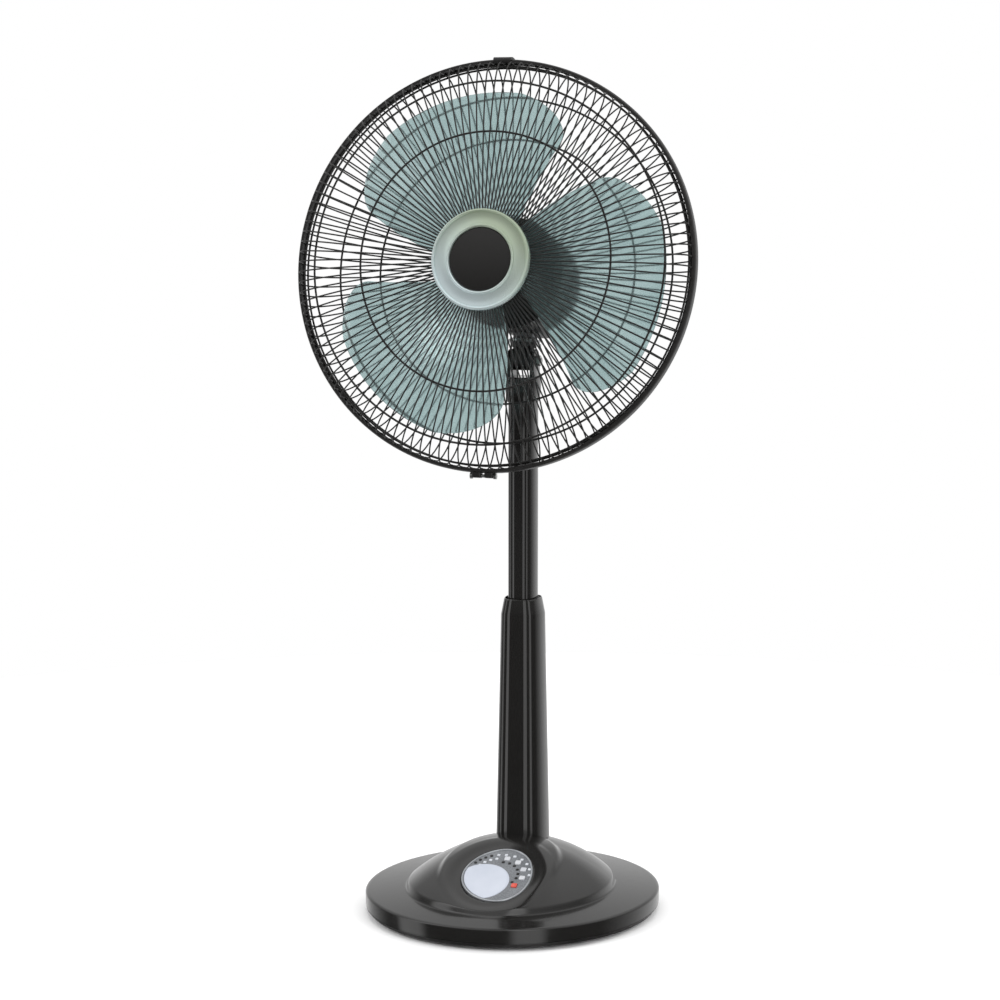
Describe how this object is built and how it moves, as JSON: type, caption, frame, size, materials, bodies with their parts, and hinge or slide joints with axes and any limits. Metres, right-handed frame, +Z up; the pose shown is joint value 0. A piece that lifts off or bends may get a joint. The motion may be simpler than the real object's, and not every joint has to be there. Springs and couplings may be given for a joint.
{
  "type": "pedestal fan",
  "caption": "Pedestal fan with caged translucent blades on a tilting, swinging head, a telescoping column and an oval weighted base with a key panel.",
  "frame": {"origin": "middle of the base on the floor", "axes": "+Z up, -Y towards the front of the fan, +X to the right as seen from the front"},
  "size_m": [0.45, 0.36, 0.9583],
  "materials": {
    "charcoal_shell": "gloss",
    "black_plastic": "satin",
    "ballast_iron": "raw",
    "rubber_feet": "matte",
    "zinc_screws": "zinc plated",
    "silver_trim": "metallic paint",
    "pale_window": "clear gloss",
    "red_key": "gloss",
    "grey_keys": "satin",
    "circuit_board": "lacquered",
    "led_windows": "diffused",
    "acetal": "moulded",
    "steel_parts": "ground",
    "cast_bracket": "die cast",
    "copper_wire": "enamelled",
    "bronze_bush": "sintered",
    "teal_blade": "translucent",
    "coated_wire": "powder coated"
  },
  "bodies": {
    "base": {"base_cover": "charcoal_shell", "base_tray": "black_plastic", "base_ballast": "ballast_iron", "foot_pads": "rubber_feet", "tray_screws": "zinc_screws", "cord_gland": "rubber_feet", "column_socket": "black_plastic", "socket_screws": "zinc_screws", "panel_bezel": "silver_trim", "panel_lens": "pale_window", "panel_bracket": "black_plastic", "control_board": "circuit_board", "tact_switches": "black_plastic", "indicator_leds": "led_windows", "ir_receiver": "black_plastic", "power_board": "circuit_board", "run_capacitor": "black_plastic", "outer_column": "charcoal_shell", "column_collar": "black_plastic"},
    "height_knob": {"height_knob": "black_plastic"},
    "power_button": {"power_button": "red_key"},
    "speed_button": {"speed_button": "grey_keys"},
    "timer_button": {"timer_button": "grey_keys"},
    "rhythm_button": {"rhythm_button": "grey_keys"},
    "swing_button": {"swing_button": "grey_keys"},
    "mast": {"inner_column": "charcoal_shell", "mast_foot": "acetal", "neck_socket": "charcoal_shell", "tilt_bolt": "zinc_screws", "tilt_nut": "zinc_screws"},
    "neck": {"neck_yoke": "black_plastic", "swing_slot_plate": "steel_parts"},
    "head": {"swing_pin": "steel_parts", "motor_bracket": "cast_bracket", "motor_rear_cover": "black_plastic", "motor_front_cover": "black_plastic", "cover_screws": "zinc_screws", "stator_core": "steel_parts", "stator_windings": "copper_wire", "motor_bushes": "bronze_bush", "swing_motor": "steel_parts", "rear_guard_plate": "coated_wire", "rear_guard_nut": "black_plastic", "rear_guard_wires": "coated_wire", "rear_guard_rings": "coated_wire", "front_guard_wires": "coated_wire", "front_guard_rings": "coated_wire", "front_guard_plate": "coated_wire", "front_guard_boss": "black_plastic", "badge_ring": "silver_trim", "badge_disc": "charcoal_shell", "rim_band": "coated_wire", "rim_screw": "zinc_screws", "top_clip": "black_plastic"},
    "crank": {"swing_crank": "acetal"},
    "rotor": {"rotor_core": "steel_parts", "motor_shaft": "steel_parts", "drive_pin": "steel_parts", "blade": "teal_blade", "spinner_nut": "black_plastic"}
  },
  "joints": [
    {"name": "height_slide", "type": "slide", "parent": "base", "child": "mast", "axis": [0, 0, 1], "range_m": [-0.2, 0.02]},
    {"name": "knob_turn", "type": "hinge", "parent": "base", "child": "height_knob", "pos_m": [0, 0.04, 0.33], "axis": [0, 1, 0], "range_deg": [-180, 180]},
    {"name": "head_tilt", "type": "hinge", "parent": "mast", "child": "neck", "pos_m": [0, 0.04, 0.622], "axis": [1, 0, 0], "range_deg": [-15, 20]},
    {"name": "head_swing", "type": "hinge", "parent": "neck", "child": "head", "pos_m": [0, 0.04, 0.622], "axis": [0, 0.1736, 0.9848], "range_deg": [-35, 35]},
    {"name": "crank_turn", "type": "hinge", "parent": "head", "child": "crank", "pos_m": [0, 0.06404, 0.64315], "axis": [0, 0.1736, 0.9848], "range_deg": [-91, 91]},
    {"name": "blade_spin", "type": "hinge", "parent": "head", "child": "rotor", "pos_m": [0, 0.05545, 0.70965], "axis": [0, -0.9848, 0.1736], "continuous": true},
    {"name": "power_press", "type": "slide", "parent": "base", "child": "power_button", "axis": [0, 0.3907, -0.9205], "range_m": [0, 0.001], "stiffness_N_per_m": 600},
    {"name": "speed_press", "type": "slide", "parent": "base", "child": "speed_button", "axis": [0, 0.3907, -0.9205], "range_m": [0, 0.001], "stiffness_N_per_m": 600},
    {"name": "timer_press", "type": "slide", "parent": "base", "child": "timer_button", "axis": [0, 0.3907, -0.9205], "range_m": [0, 0.001], "stiffness_N_per_m": 600},
    {"name": "rhythm_press", "type": "slide", "parent": "base", "child": "rhythm_button", "axis": [0, 0.3907, -0.9205], "range_m": [0, 0.001], "stiffness_N_per_m": 600},
    {"name": "swing_press", "type": "slide", "parent": "base", "child": "swing_button", "axis": [0, 0.3907, -0.9205], "range_m": [0, 0.001], "stiffness_N_per_m": 600}
  ],
  "couplings": [
    {"joint": "crank_turn", "follows": "head_swing", "ratio": -2.571}
  ]
}
